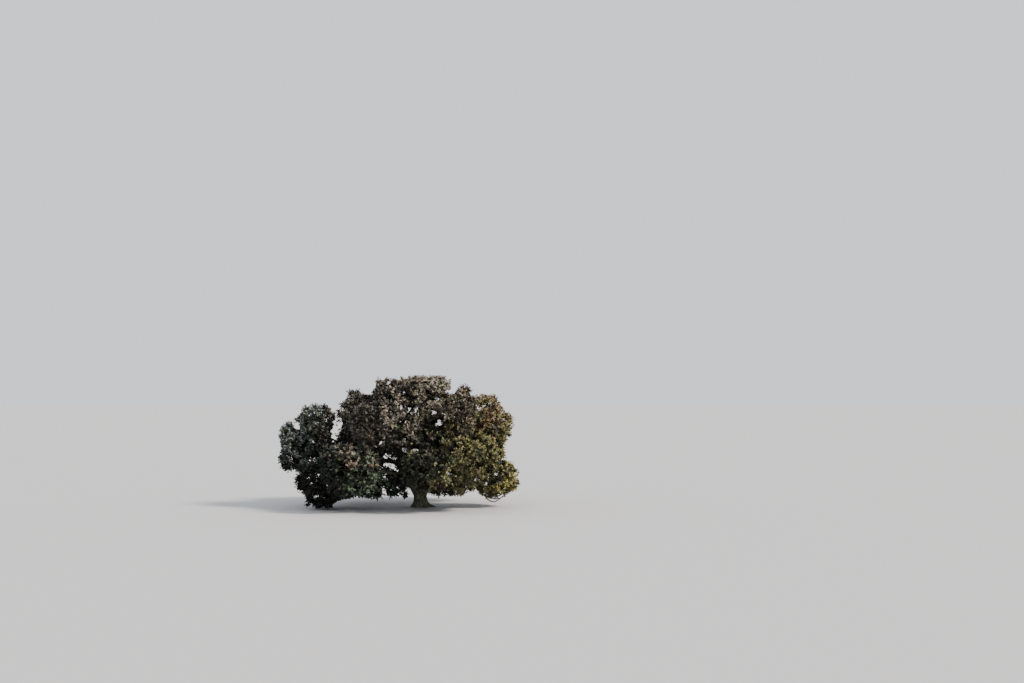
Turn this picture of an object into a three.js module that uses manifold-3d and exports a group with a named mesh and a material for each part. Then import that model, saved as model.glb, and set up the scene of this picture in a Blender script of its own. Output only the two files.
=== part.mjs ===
// A wide evergreen oak standing alone: a short fluted trunk that forks low, boughs that spread
// from the fork, and a mass of foliage on the end of each bough.
// Millimetres, +Z up. The origin is the middle of the flat cut under the trunk, at ground level.
// +X is to the viewer's right and +Y is away from the viewer.
import * as THREE from "three";
import { mergeVertices } from "three/addons/utils/BufferGeometryUtils.js";
import Module from "manifold-3d";

const wasm = await Module();
wasm.setup();

// Trunk
const trunkTop = 2250;
const forkHeight = 1850;
const waistHeight = 850;
const waistRadius = 535;
const footRadius = 720;
const footHeight = 330;
const forkRadius = 900;
const forkCentre = [-70, 0];
const roots = [
  { angle: 0.1, reach: 720, width: 0.42 },
  { angle: 1.15, reach: 420, width: 0.36 },
  { angle: 2.15, reach: 330, width: 0.4 },
  { angle: 3.2, reach: 260, width: 0.36 },
  { angle: 4.15, reach: 420, width: 0.4 },
  { angle: 5.2, reach: 480, width: 0.36 },
];
const rootHeight = 240;
const fluteDepth = 34;
const topShrink = 0.45;
const trunkSides = 24;
const trunkRings = 9;
const ringCrowding = 1.7;

// Limbs
const touchGap = 0.35;
const stemGap = 0.4;
const boughSides = 6;
const stemSides = 5;
const twigSides = 3;
const stepLength = 1300;
const collarShare = 0.35;
const collarSpan = 0.16;

// Foliage
const blockiness = 2.5;
const entryShare = 0.88;
const stemBeyond = 0.25;
const stemEndRadius = 72;
const twigTries = 20;
const tryOrder = 7;
const twigStray = 0.4;
const reachPerTwig = 400;
const twigStart = [0.45, 0.95];
const twigRadii = [60, 36];
const twigShare = 0.93;
const exposedShare = 0.82;
const twigChecks = 6;
const sprayLength = 1500;
const sprayLengths = [0.85, 1.15];
const sprayWidth = 0.8;
const sprayThickness = 0.1;
const sprayJoint = 0.95;
const sprayStep = 0.04;
const sprayFits = [
  { lean: 1.15, size: 1 },
  { lean: 1.3, size: 1 },
  { lean: 1.45, size: 1 },
  { lean: 1.2, size: 0.8 },
  { lean: 1.4, size: 0.8 },
  { lean: 1.2, size: 0.62 },
  { lean: 1.4, size: 0.62 },
];
const coreShare = 0.8;
const coreLeast = 0.15;
const coreStep = 0.03;
const coreRoughness = 0.06;
const coreMargin = 165;
const edgeShare = 1.07;
const farShare = 1.15;
const spaceMargin = 110;
const limbMargin = 40;
const groundMargin = 150;
const firstSeed = 101;
const seedStep = 17;
const goldenAngle = Math.PI * (3 - Math.sqrt(5));

// Where the gaps in the crown are seen from: distance to the south, and height of the eye
const eyeDistance = 110000;
const eyeHeight = 9700;

// Gaps with sky behind them and bays in the outline, as they stand over the trunk's foot: centre x, z
// and half width and height
const skyGaps = [
  { x: -7530, z: 7420, halfWidth: 560, halfHeight: 760 },
  { x: -7820, z: 6600, halfWidth: 420, halfHeight: 800 },
  { x: -11100, z: 7300, halfWidth: 300, halfHeight: 400 },
  { x: -13150, z: 5400, halfWidth: 720, halfHeight: 900 },
  { x: -13000, z: 3650, halfWidth: 450, halfHeight: 450 },
  { x: -11500, z: 8900, halfWidth: 800, halfHeight: 800 },
  { x: -7400, z: 10100, halfWidth: 800, halfHeight: 700 },
  { x: -4900, z: 11100, halfWidth: 800, halfHeight: 1000 },
  { x: -2050, z: 12300, halfWidth: 450, halfHeight: 500 },
  { x: 3050, z: 11100, halfWidth: 420, halfHeight: 900 },
  { x: 2600, z: 10450, halfWidth: 480, halfHeight: 280 },
  { x: 8200, z: 9600, halfWidth: 1000, halfHeight: 1300 },
  { x: 8350, z: 5600, halfWidth: 600, halfHeight: 800 },
  { x: 9000, z: 3900, halfWidth: 600, halfHeight: 500 },
  { x: -11500, z: 600, halfWidth: 1250, halfHeight: 1100 },
  { x: -6400, z: 250, halfWidth: 1450, halfHeight: 620 },
  { x: -11800, z: 4450, halfWidth: 340, halfHeight: 380 },
  { x: -5400, z: 5000, halfWidth: 360, halfHeight: 520 },
  { x: -3500, z: 5650, halfWidth: 520, halfHeight: 400 },
  { x: -2950, z: 4500, halfWidth: 500, halfHeight: 500 },
  { x: -3000, z: 3700, halfWidth: 650, halfHeight: 300 },
  { x: -3300, z: 2850, halfWidth: 420, halfHeight: 280 },
  { x: -1780, z: 9000, halfWidth: 250, halfHeight: 420 },
  { x: -1150, z: 8800, halfWidth: 320, halfHeight: 480 },
  { x: -500, z: 8800, halfWidth: 300, halfHeight: 520 },
  { x: -1720, z: 7700, halfWidth: 430, halfHeight: 370 },
  { x: -900, z: 9950, halfWidth: 380, halfHeight: 330 },
  { x: -1600, z: 10300, halfWidth: 300, halfHeight: 280 },
  { x: 100, z: 9250, halfWidth: 350, halfHeight: 250 },
  { x: 1150, z: 8550, halfWidth: 420, halfHeight: 360 },
  { x: 1780, z: 7640, halfWidth: 420, halfHeight: 400 },
  { x: 1480, z: 9820, halfWidth: 350, halfHeight: 300 },
  { x: 4880, z: 6250, halfWidth: 420, halfHeight: 340 },
  { x: 2700, z: 2920, halfWidth: 420, halfHeight: 380 },
  { x: 5100, z: 2500, halfWidth: 480, halfHeight: 360 },
];

// Masses of foliage: centre and reach along x, y and z
const masses = {
  far_left: { centre: [-11600, 200, 5500], reach: [1420, 2000, 2300] },
  left_top: { centre: [-9500, 300, 6950], reach: [2000, 2500, 2400] },
  left_low: { centre: [-8200, -1500, 2850], reach: [2850, 2700, 2950] },
  left_inner: { centre: [-4500, -2300, 2760], reach: [1950, 1900, 1900] },
  left_middle: { centre: [-4900, 1600, 5700], reach: [2700, 1900, 1700] },
  crown_left: { centre: [-5850, -200, 8200], reach: [1800, 2400, 2420] },
  crown_upper_left: { centre: [-2900, -300, 9250], reach: [2150, 2400, 2450] },
  crown_middle: { centre: [-500, -900, 7150], reach: [1750, 1700, 2050] },
  crown_top: { centre: [350, 0, 10350], reach: [2950, 2500, 1650] },
  crown_knob: { centre: [3750, 300, 10000], reach: [1000, 1200, 1100] },
  right_shoulder: { centre: [3450, -500, 8450], reach: [2250, 1900, 1850] },
  right_top: { centre: [5920, 300, 7620], reach: [2500, 2500, 2600] },
  right_core: { centre: [2500, -1500, 6100], reach: [1600, 1700, 1500] },
  right_middle: { centre: [5350, -700, 5300], reach: [2350, 2400, 1900] },
  right_low: { centre: [6750, -500, 2600], reach: [2220, 2400, 1740] },
  right_inner: { centre: [2700, -1950, 2700], reach: [2650, 2000, 1680] },
  inner_left_low: { centre: [-1950, -2200, 2280], reach: [1500, 1400, 1320] },
  front_centre: { centre: [100, -4200, 5200], reach: [2600, 2400, 2500] },
  front_low: { centre: [700, -6900, 3700], reach: [2400, 1900, 1800] },
  front_left: { centre: [-6100, -5700, 3700], reach: [2500, 2300, 2300] },
  front_right: { centre: [4200, -5500, 4700], reach: [2500, 2300, 2300] },
  front_top_left: { centre: [-3700, -4500, 7500], reach: [2500, 2300, 2200] },
  front_top_right: { centre: [2500, -4000, 8100], reach: [2300, 2200, 1800] },
  back_left: { centre: [-7400, 4500, 4700], reach: [2700, 2500, 2500] },
  back_top_left: { centre: [-4200, 4300, 7900], reach: [2600, 2400, 2300] },
  back_top: { centre: [900, 4600, 8100], reach: [3000, 2500, 2400] },
  back_right: { centre: [5300, 4700, 5900], reach: [2600, 2500, 2500] },
  back_low: { centre: [2100, 7200, 3800], reach: [2600, 2000, 2000] },
  back_low_left: { centre: [-4900, 7300, 4300], reach: [2400, 2000, 2300] },
};

// Boughs, one to each mass. A bough leaves the trunk at a height, or another bough at a share of
// its length, passes through its bends and ends in its mass. Radii are at its root and its tip.
const boughs = {
  left_low: { from: "trunk", at: 1500, bends: [[-1700, -100, 2750], [-3700, -350, 3300]], radii: [250, 90] },
  left_top: {
    from: "trunk",
    at: 1750,
    bends: [[-2000, 250, 3850], [-3600, 300, 4250], [-5700, 200, 4900]],
    radii: [240, 85],
  },
  crown_top: {
    from: "trunk",
    at: 1800,
    bends: [[-1500, 150, 4100], [-2050, 200, 6300], [-1300, 100, 8200]],
    radii: [300, 95],
  },
  right_shoulder: { from: "trunk", at: 1800, bends: [[450, 200, 3900], [1300, 250, 5700]], radii: [290, 90] },
  right_low: { from: "trunk", at: 1400, bends: [[1500, -50, 1850], [3300, -50, 1750]], radii: [230, 85] },
  front_centre: { from: "trunk", at: 1750, bends: [[-50, -1250, 3000]], radii: [230, 90] },
  front_left: {
    from: "front_centre",
    at: 0.42,
    bends: [[-1300, -2900, 3200], [-3200, -4600, 3400]],
    radii: [150, 70],
  },
  back_top: { from: "trunk", at: 1750, bends: [[100, 1200, 3700], [500, 2500, 5600]], radii: [260, 90] },
  back_low_left: {
    from: "trunk",
    at: 1600,
    bends: [[-1000, 1900, 2600], [-2900, 4300, 2950]],
    radii: [220, 80],
  },
  inner_left_low: { from: "left_low", at: 0.16, bends: [], radii: [110, 55] },
  far_left: { from: "left_top", at: 0.72, bends: [[-8800, 1700, 4750]], radii: [110, 60] },
  crown_left: { from: "left_top", at: 0.5, bends: [], radii: [140, 65] },
  left_middle: { from: "left_top", at: 0.33, bends: [], radii: [120, 60] },
  back_left: { from: "back_low_left", at: 0.55, bends: [[-4600, 3900, 3500]], radii: [150, 70] },
  left_inner: { from: "left_low", at: 0.45, bends: [], radii: [110, 55] },
  crown_upper_left: { from: "crown_top", at: 0.42, bends: [], radii: [150, 70] },
  crown_middle: { from: "crown_top", at: 0.55, bends: [], radii: [100, 60] },
  front_top_left: { from: "crown_top", at: 0.36, bends: [[-2350, -1300, 5950]], radii: [150, 70] },
  back_top_left: { from: "crown_top", at: 0.42, bends: [[-2500, 1500, 6250]], radii: [150, 70] },
  crown_knob: {
    from: "right_shoulder",
    at: 0.72,
    bends: [[2300, 1400, 7500], [3200, 1550, 8700]],
    radii: [95, 50],
  },
  right_top: { from: "right_shoulder", at: 0.55, bends: [[2500, 650, 6300]], radii: [170, 75] },
  right_core: { from: "right_shoulder", at: 0.45, bends: [], radii: [110, 60] },
  right_middle: { from: "right_shoulder", at: 0.3, bends: [[2000, -50, 4450]], radii: [150, 70] },
  front_top_right: { from: "front_centre", at: 0.62, bends: [[800, -2100, 5300]], radii: [140, 65] },
  back_right: { from: "right_shoulder", at: 0.36, bends: [[2200, 1800, 5100]], radii: [160, 75] },
  front_right: { from: "right_shoulder", at: 0.2, bends: [[1350, -1250, 4250]], radii: [150, 70] },
  right_inner: { from: "right_low", at: 0.35, bends: [], radii: [110, 55] },
  front_low: { from: "front_centre", at: 0.5, bends: [[150, -3000, 2950]], radii: [140, 70] },
  back_low: { from: "back_top", at: 0.22, bends: [[1100, 2900, 3400]], radii: [160, 75] },
};

const bark = new THREE.MeshStandardMaterial({ color: "#4a4335", roughness: 0.95, metalness: 0 });
const leaf = new THREE.MeshStandardMaterial({ color: "#3c3f26", roughness: 0.7, metalness: 0 });

const { lerp, smoothstep, clamp } = THREE.MathUtils;
const point = (list) => new THREE.Vector3(...list);

// The same seed always gives the same run of numbers between 0 and 1
function seeded(seed) {
  let state = seed;
  return () => {
    state = (state * 16807) % 2147483647;
    return state / 2147483647;
  };
}

// Each shape becomes a solid that can be joined and cut, and a solid becomes a shape again
function toSolid(geometry) {
  const bare = geometry.clone();
  bare.deleteAttribute("normal");
  bare.deleteAttribute("uv");
  const merged = mergeVertices(bare, 1e-3);
  const vertProperties = merged.attributes.position.array;
  const triVerts = new Uint32Array(merged.index.array);
  return new wasm.Manifold(new wasm.Mesh({ numProp: 3, vertProperties, triVerts }));
}

function toGeometry(solid) {
  const mesh = solid.getMesh();
  const geometry = new THREE.BufferGeometry();
  geometry.setAttribute("position", new THREE.BufferAttribute(mesh.vertProperties, 3));
  geometry.setIndex(new THREE.BufferAttribute(mesh.triVerts, 1));
  const flat = geometry.toNonIndexed();
  flat.computeVertexNormals();
  return flat;
}

const largest = (solid) => solid.decompose().reduce((a, b) => (b.volume() > a.volume() ? b : a));

// A limb is a cylinder bent along its curve and drawn out thin. Extra makes it that much fatter
// and longer all round.
function limbGeometry({ curve, radii, sides, collar }, extra = 0) {
  const steps = sides > twigSides ? Math.max(1, Math.round(curve.getLength() / stepLength)) : 1;
  const { tangents, normals, binormals } = curve.computeFrenetFrames(steps);
  const geometry = new THREE.CylinderGeometry(1, 1, 1, sides, steps);
  const position = geometry.attributes.position;
  for (let i = 0; i < position.count; i++) {
    const share = clamp(position.getY(i) + 0.5, 0, 1);
    const ring = Math.round(share * steps);
    const swelling = collar ? 1 + collarShare * Math.max(0, 1 - share / collarSpan) ** 2 : 1;
    const radius = lerp(radii[0], radii[1], share) * swelling + extra;
    const place = curve
      .getPointAt(ring / steps)
      .addScaledVector(binormals[ring], position.getX(i) * radius)
      .addScaledVector(normals[ring], position.getZ(i) * radius);
    if (ring === 0) place.addScaledVector(tangents[ring], -extra);
    if (ring === steps) place.addScaledVector(tangents[ring], extra);
    position.setXYZ(i, place.x, place.y, place.z);
  }
  return geometry;
}

// The trunk: a cylinder whose rings follow its taper, with root lobes at the foot and a swollen fork
function trunkRadius(height, angle) {
  const foot = Math.exp(-height / footHeight);
  const fork = smoothstep(height, waistHeight, forkHeight);
  const round = lerp(waistRadius + (footRadius - waistRadius) * foot, forkRadius, fork);
  const lobes = roots.map((root) => {
    const turn = Math.atan2(Math.sin(angle - root.angle), Math.cos(angle - root.angle));
    const depth = root.reach * Math.exp(-height / rootHeight) + fluteDepth * (1 - fork);
    return depth * Math.exp(-((turn / root.width) ** 2));
  });
  return round + Math.max(...lobes);
}

function trunkAxis(height) {
  const lean = smoothstep(height, 0, forkHeight);
  return new THREE.Vector3(forkCentre[0] * lean, forkCentre[1] * lean, height);
}

function trunkGeometry(extra = 0) {
  const geometry = new THREE.CylinderGeometry(1, 1, 1, trunkSides, trunkRings);
  const position = geometry.attributes.position;
  for (let i = 0; i < position.count; i++) {
    const share = position.getY(i) + 0.5;
    const height = trunkTop * share ** ringCrowding;
    const angle = Math.atan2(position.getZ(i), position.getX(i));
    const across = Math.hypot(position.getX(i), position.getZ(i));
    const shoulder = Math.max(0, height - forkHeight) / (trunkTop - forkHeight);
    const radius = across * (trunkRadius(height, angle) * (1 - topShrink * shoulder ** 2) + extra);
    const offset = new THREE.Vector3(Math.cos(angle) * radius, -Math.sin(angle) * radius, 0);
    const place = trunkAxis(height).add(offset);
    if (share === 1) place.z += extra;
    position.setXYZ(i, place.x, place.y, place.z);
  }
  return geometry;
}

// How far a place is from a mass's middle, where 1 is the edge of its reach. The form is an
// ellipsoid with fuller corners.
function shareOf(mass, place) {
  const offsets = mass.centre.map((c, i) => Math.abs(place.getComponent(i) - c) / mass.reach[i]);
  return offsets.reduce((sum, offset) => sum + offset ** blockiness, 0) ** (1 / blockiness);
}

function placeAt(mass, direction, share) {
  const centre = point(mass.centre);
  const outer = direction.clone().multiply(point(mass.reach)).add(centre);
  return centre.lerp(outer, share / shareOf(mass, outer));
}

// A mass keeps to the places that are nearer to it than to any other mass
function inSpace(mass, place, margin) {
  const own = shareOf(mass, place);
  if (own > edgeShare || place.z < groundMargin) return false;
  return Object.values(masses).every((other) => {
    if (other === mass) return true;
    const share = shareOf(other, place);
    return share > farShare || own + margin / Math.min(...mass.reach, ...other.reach) < share;
  });
}

function inSkyGap(place) {
  const toFoot = eyeDistance / (eyeDistance + place.y);
  const x = place.x * toFoot;
  const z = eyeHeight + (place.z - eyeHeight) * toFoot;
  return skyGaps.some((gap) => Math.hypot((x - gap.x) / gap.halfWidth, (z - gap.z) / gap.halfHeight) < 1);
}

const isOpenTo = (mass, place, margin = spaceMargin) => inSpace(mass, place, margin) && !inSkyGap(place);

// A bough runs from its parent to the edge of its mass, and is cut by the trunk and the boughs before it
function makeBoughs() {
  const made = {};
  const cutters = [toSolid(trunkGeometry(touchGap))];
  for (const [name, plan] of Object.entries(boughs)) {
    const mass = masses[name];
    const start = plan.from === "trunk" ? trunkAxis(plan.at) : made[plan.from].curve.getPointAt(plan.at);
    const bends = plan.bends.map(point);
    const last = bends.at(-1) ?? start;
    const end = point(mass.centre).lerp(last, entryShare / shareOf(mass, last));
    const curve = new THREE.CatmullRomCurve3([start, ...bends, end], false, "centripetal");
    const limb = { curve, radii: plan.radii, sides: boughSides, collar: true };
    const whole = toSolid(limbGeometry(limb));
    const solid = largest(cutters.reduce((left, cutter) => left.subtract(cutter), whole));
    const cutter = toSolid(limbGeometry(limb, touchGap));
    cutters.push(cutter);
    made[name] = { ...limb, cutter, solid };
  }
  return made;
}

// Sprays and twigs keep off the boughs
const nearestOnLine = new THREE.Vector3();
const boughPieces = 14;

function linesAlong({ curve, radii }) {
  const places = curve.getSpacedPoints(boughPieces);
  return places.slice(1).map((end, i) => ({
    line: new THREE.Line3(places[i], end),
    radius: lerp(radii[0], radii[1], i / boughPieces) + limbMargin,
  }));
}

function clearOfBoughs(lines, places) {
  const isClear = (place, { line, radius }) =>
    line.closestPointToPoint(place, true, nearestOnLine).distanceTo(place) > radius;
  return places.every((place) => lines.every((piece) => isClear(place, piece)));
}

// The core of a mass: a ball drawn to a share of the mass's reach, dented at its neighbours and gaps
function coreGeometry(mass, random) {
  const ball = new THREE.IcosahedronGeometry(1, 1);
  ball.deleteAttribute("uv");
  ball.deleteAttribute("normal");
  const geometry = mergeVertices(ball, 1e-3);
  const position = geometry.attributes.position;
  for (let i = 0; i < position.count; i++) {
    const direction = new THREE.Vector3().fromBufferAttribute(position, i);
    let share = coreShare * (1 + coreRoughness * (2 * random() - 1));
    while (share > coreLeast && !isOpenTo(mass, placeAt(mass, direction, share), coreMargin)) {
      share -= coreStep;
    }
    const place = placeAt(mass, direction, share);
    position.setXYZ(i, place.x, place.y, place.z);
  }
  return geometry;
}

// A spray of leaves is one pointed plate with its foot sunk in its twig
function sprayGeometry(foot, along, outward, length) {
  const side = new THREE.Vector3().crossVectors(along, outward).normalize();
  const flat = new THREE.Vector3().crossVectors(side, along);
  const middle = foot.clone().addScaledVector(along, length / 2);
  const geometry = new THREE.OctahedronGeometry(0.5);
  geometry.scale(length * sprayWidth, length, length * sprayThickness);
  return geometry.applyMatrix4(new THREE.Matrix4().makeBasis(side, along, flat).setPosition(middle));
}

// The longest spray that fits beside its twig, leaning out of the twig's own face
function fittingSpray(mass, lines, joint, onward, away, fullLength) {
  for (const { lean, size } of sprayFits) {
    const along = onward.clone().multiplyScalar(Math.cos(lean)).addScaledVector(away, Math.sin(lean));
    const spray = sprayGeometry(joint, along, onward, fullLength * size);
    const { position } = spray.attributes;
    const corners = Array.from({ length: position.count }, (_, i) => {
      return new THREE.Vector3().fromBufferAttribute(position, i);
    });
    if (corners.every((corner) => isOpenTo(mass, corner)) && clearOfBoughs(lines, corners)) return spray;
  }
  return null;
}

// One twig from the stem, with a spray on each of its faces near its end
function growTwig(mass, lines, stemCurve, direction, random) {
  let limit = 1;
  while (limit > exposedShare && !isOpenTo(mass, placeAt(mass, direction, limit))) limit -= coreStep;
  if (limit <= exposedShare) return [];
  const root = stemCurve.getPointAt(lerp(...twigStart, random()));
  const curve = new THREE.LineCurve3(root, placeAt(mass, direction, limit * twigShare));
  const passes = curve.getSpacedPoints(twigChecks).slice(twigChecks / 2);
  if (!passes.every((place) => isOpenTo(mass, place)) || !clearOfBoughs(lines, passes)) return [];
  const { tangents, normals, binormals } = curve.computeFrenetFrames(1);
  const sprays = [];
  for (let side = 0; side < twigSides; side++) {
    const turn = (Math.PI * (2 * side + 1)) / twigSides;
    const away = binormals[0].clone().multiplyScalar(Math.sin(turn));
    away.addScaledVector(normals[0], Math.cos(turn));
    const joint = curve.getPointAt(sprayJoint - sprayStep * side);
    const length = sprayLength * lerp(...sprayLengths, random());
    const spray = fittingSpray(mass, lines, joint, tangents[0], away, length);
    if (spray) sprays.push(toSolid(spray));
  }
  const twig = toSolid(limbGeometry({ curve, radii: twigRadii, sides: twigSides }));
  return sprays.length ? [twig, ...sprays] : [];
}

// The stem carries on from its bough's tip, through the middle of the mass
function stemOf(mass, bough) {
  const centre = point(mass.centre);
  const tip = bough.curve.getPointAt(1);
  const heading = bough.curve.getTangentAt(1);
  const start = tip.clone().addScaledVector(heading, stemGap);
  const after = start.clone().addScaledVector(heading, bough.radii[1]);
  const end = centre.clone().addScaledVector(centre.clone().sub(tip), stemBeyond);
  const curve = new THREE.CatmullRomCurve3([start, after, centre, end], false, "centripetal");
  return { curve, radii: [bough.radii[1], stemEndRadius], sides: stemSides };
}

function apart(a, b) {
  const [first, second] = [a.boundingBox(), b.boundingBox()];
  return [0, 1, 2].some((i) => first.min[i] > second.max[i] || second.min[i] > first.max[i]);
}

function makeMass(name, grown, seed) {
  const mass = masses[name];
  const random = seeded(seed);
  const lines = Object.values(grown).flatMap(linesAlong);
  const stem = stemOf(mass, grown[name]);
  const pieces = [toSolid(limbGeometry(stem)), toSolid(coreGeometry(mass, random))];
  let twigsLeft = Math.round((mass.reach[0] + mass.reach[1] + mass.reach[2]) / 3 / reachPerTwig);
  for (let k = 0; k < twigTries && twigsLeft > 0; k++) {
    const place = (k * tryOrder) % twigTries;
    const rise = 1 - (2 * place + 1) / twigTries;
    const turn = place * goldenAngle + twigStray * random();
    const flat = Math.sqrt(1 - rise * rise);
    const direction = new THREE.Vector3(flat * Math.cos(turn), flat * Math.sin(turn), rise);
    const twig = growTwig(mass, lines, stem.curve, direction, random);
    pieces.push(...twig);
    if (twig.length) twigsLeft -= 1;
  }
  const joined = pieces.reduce((left, piece) => left.add(piece));
  const near = Object.values(grown).filter((bough) => !apart(joined, bough.cutter));
  return largest(near.reduce((left, bough) => left.subtract(bough.cutter), joined));
}

const oak = new THREE.Group();

function addNode(name, solid, material) {
  const mesh = new THREE.Mesh(toGeometry(solid), material);
  mesh.name = name;
  oak.add(mesh);
}

addNode("trunk", toSolid(trunkGeometry()), bark);
const grown = makeBoughs();
for (const [name, bough] of Object.entries(grown)) addNode(`bough_${name}`, bough.solid, bark);
Object.keys(masses).forEach((name, index) => {
  addNode(`foliage_${name}`, makeMass(name, grown, firstSeed + seedStep * index), leaf);
});

export default oak;
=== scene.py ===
import math

import bpy
import numpy as np
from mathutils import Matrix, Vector, noise


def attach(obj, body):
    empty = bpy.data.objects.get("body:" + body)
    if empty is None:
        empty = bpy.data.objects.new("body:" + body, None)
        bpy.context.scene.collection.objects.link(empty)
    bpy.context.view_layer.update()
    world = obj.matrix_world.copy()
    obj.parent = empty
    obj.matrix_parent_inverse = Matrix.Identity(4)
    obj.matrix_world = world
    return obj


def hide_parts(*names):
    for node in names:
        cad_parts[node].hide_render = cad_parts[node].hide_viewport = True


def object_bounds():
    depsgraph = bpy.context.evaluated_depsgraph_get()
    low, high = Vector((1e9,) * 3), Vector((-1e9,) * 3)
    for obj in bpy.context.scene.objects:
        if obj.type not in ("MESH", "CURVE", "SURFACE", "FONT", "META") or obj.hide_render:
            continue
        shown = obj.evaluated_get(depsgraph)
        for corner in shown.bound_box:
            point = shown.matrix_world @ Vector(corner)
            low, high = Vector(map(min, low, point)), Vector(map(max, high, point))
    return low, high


# An old evergreen oak, dressed round its frame: furrowed bark on the trunk and boughs, and a crown
# of branches, twigs and leaves that grows on from the boughs by the rule of the solids.
# Metres, +Z up, +X to the viewer's right and +Y away from the viewer.
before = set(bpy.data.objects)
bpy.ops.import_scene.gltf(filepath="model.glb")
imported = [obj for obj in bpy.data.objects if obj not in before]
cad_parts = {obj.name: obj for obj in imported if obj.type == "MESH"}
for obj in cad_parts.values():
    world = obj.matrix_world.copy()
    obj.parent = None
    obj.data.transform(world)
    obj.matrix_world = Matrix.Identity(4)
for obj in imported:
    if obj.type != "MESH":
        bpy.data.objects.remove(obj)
cadLow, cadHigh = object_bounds()
boxLow, boxHigh = np.array(cadLow), np.array(cadHigh)
bpy.ops.object.select_all(action="DESELECT")
print("frame loaded,", len(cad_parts), "nodes")

# Masses of foliage: centre and reach along x, y and z
masses = {
    "far_left": ((-11.6, 0.2, 5.5), (1.42, 2.0, 2.3)),
    "left_top": ((-9.5, 0.3, 6.95), (2.0, 2.5, 2.4)),
    "left_low": ((-8.2, -1.5, 2.85), (2.85, 2.7, 2.95)),
    "left_inner": ((-4.5, -2.3, 2.76), (1.95, 1.9, 1.9)),
    "left_middle": ((-4.9, 1.6, 5.7), (2.7, 1.9, 1.7)),
    "crown_left": ((-5.85, -0.2, 8.2), (1.8, 2.4, 2.42)),
    "crown_upper_left": ((-2.9, -0.3, 9.25), (2.15, 2.4, 2.45)),
    "crown_middle": ((-0.5, -0.9, 7.15), (1.75, 1.7, 2.05)),
    "crown_top": ((0.35, 0.0, 10.35), (2.95, 2.5, 1.65)),
    "crown_knob": ((3.75, 0.3, 10.0), (1.0, 1.2, 1.1)),
    "right_shoulder": ((3.45, -0.5, 8.45), (2.25, 1.9, 1.85)),
    "right_top": ((5.92, 0.3, 7.62), (2.5, 2.5, 2.6)),
    "right_core": ((2.5, -1.5, 6.1), (1.6, 1.7, 1.5)),
    "right_middle": ((5.35, -0.7, 5.3), (2.35, 2.4, 1.9)),
    "right_low": ((6.75, -0.5, 2.6), (2.22, 2.4, 1.74)),
    "right_inner": ((2.7, -1.95, 2.7), (2.65, 2.0, 1.68)),
    "inner_left_low": ((-1.95, -2.2, 2.28), (1.5, 1.4, 1.32)),
    "front_centre": ((0.1, -4.2, 5.2), (2.6, 2.4, 2.5)),
    "front_low": ((0.7, -6.9, 3.7), (2.4, 1.9, 1.8)),
    "front_left": ((-6.1, -5.7, 3.7), (2.5, 2.3, 2.3)),
    "front_right": ((4.2, -5.5, 4.7), (2.5, 2.3, 2.3)),
    "front_top_left": ((-3.7, -4.5, 7.5), (2.5, 2.3, 2.2)),
    "front_top_right": ((2.5, -4.0, 8.1), (2.3, 2.2, 1.8)),
    "back_left": ((-7.4, 4.5, 4.7), (2.7, 2.5, 2.5)),
    "back_top_left": ((-4.2, 4.3, 7.9), (2.6, 2.4, 2.3)),
    "back_top": ((0.9, 4.6, 8.1), (3.0, 2.5, 2.4)),
    "back_right": ((5.3, 4.7, 5.9), (2.6, 2.5, 2.5)),
    "back_low": ((2.1, 7.2, 3.8), (2.6, 2.0, 2.0)),
    "back_low_left": ((-4.9, 7.3, 4.3), (2.4, 2.0, 2.3)),
}
massNames = list(masses)
centres = np.array([centre for centre, reach in masses.values()])
reaches = np.array([reach for centre, reach in masses.values()])

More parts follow.
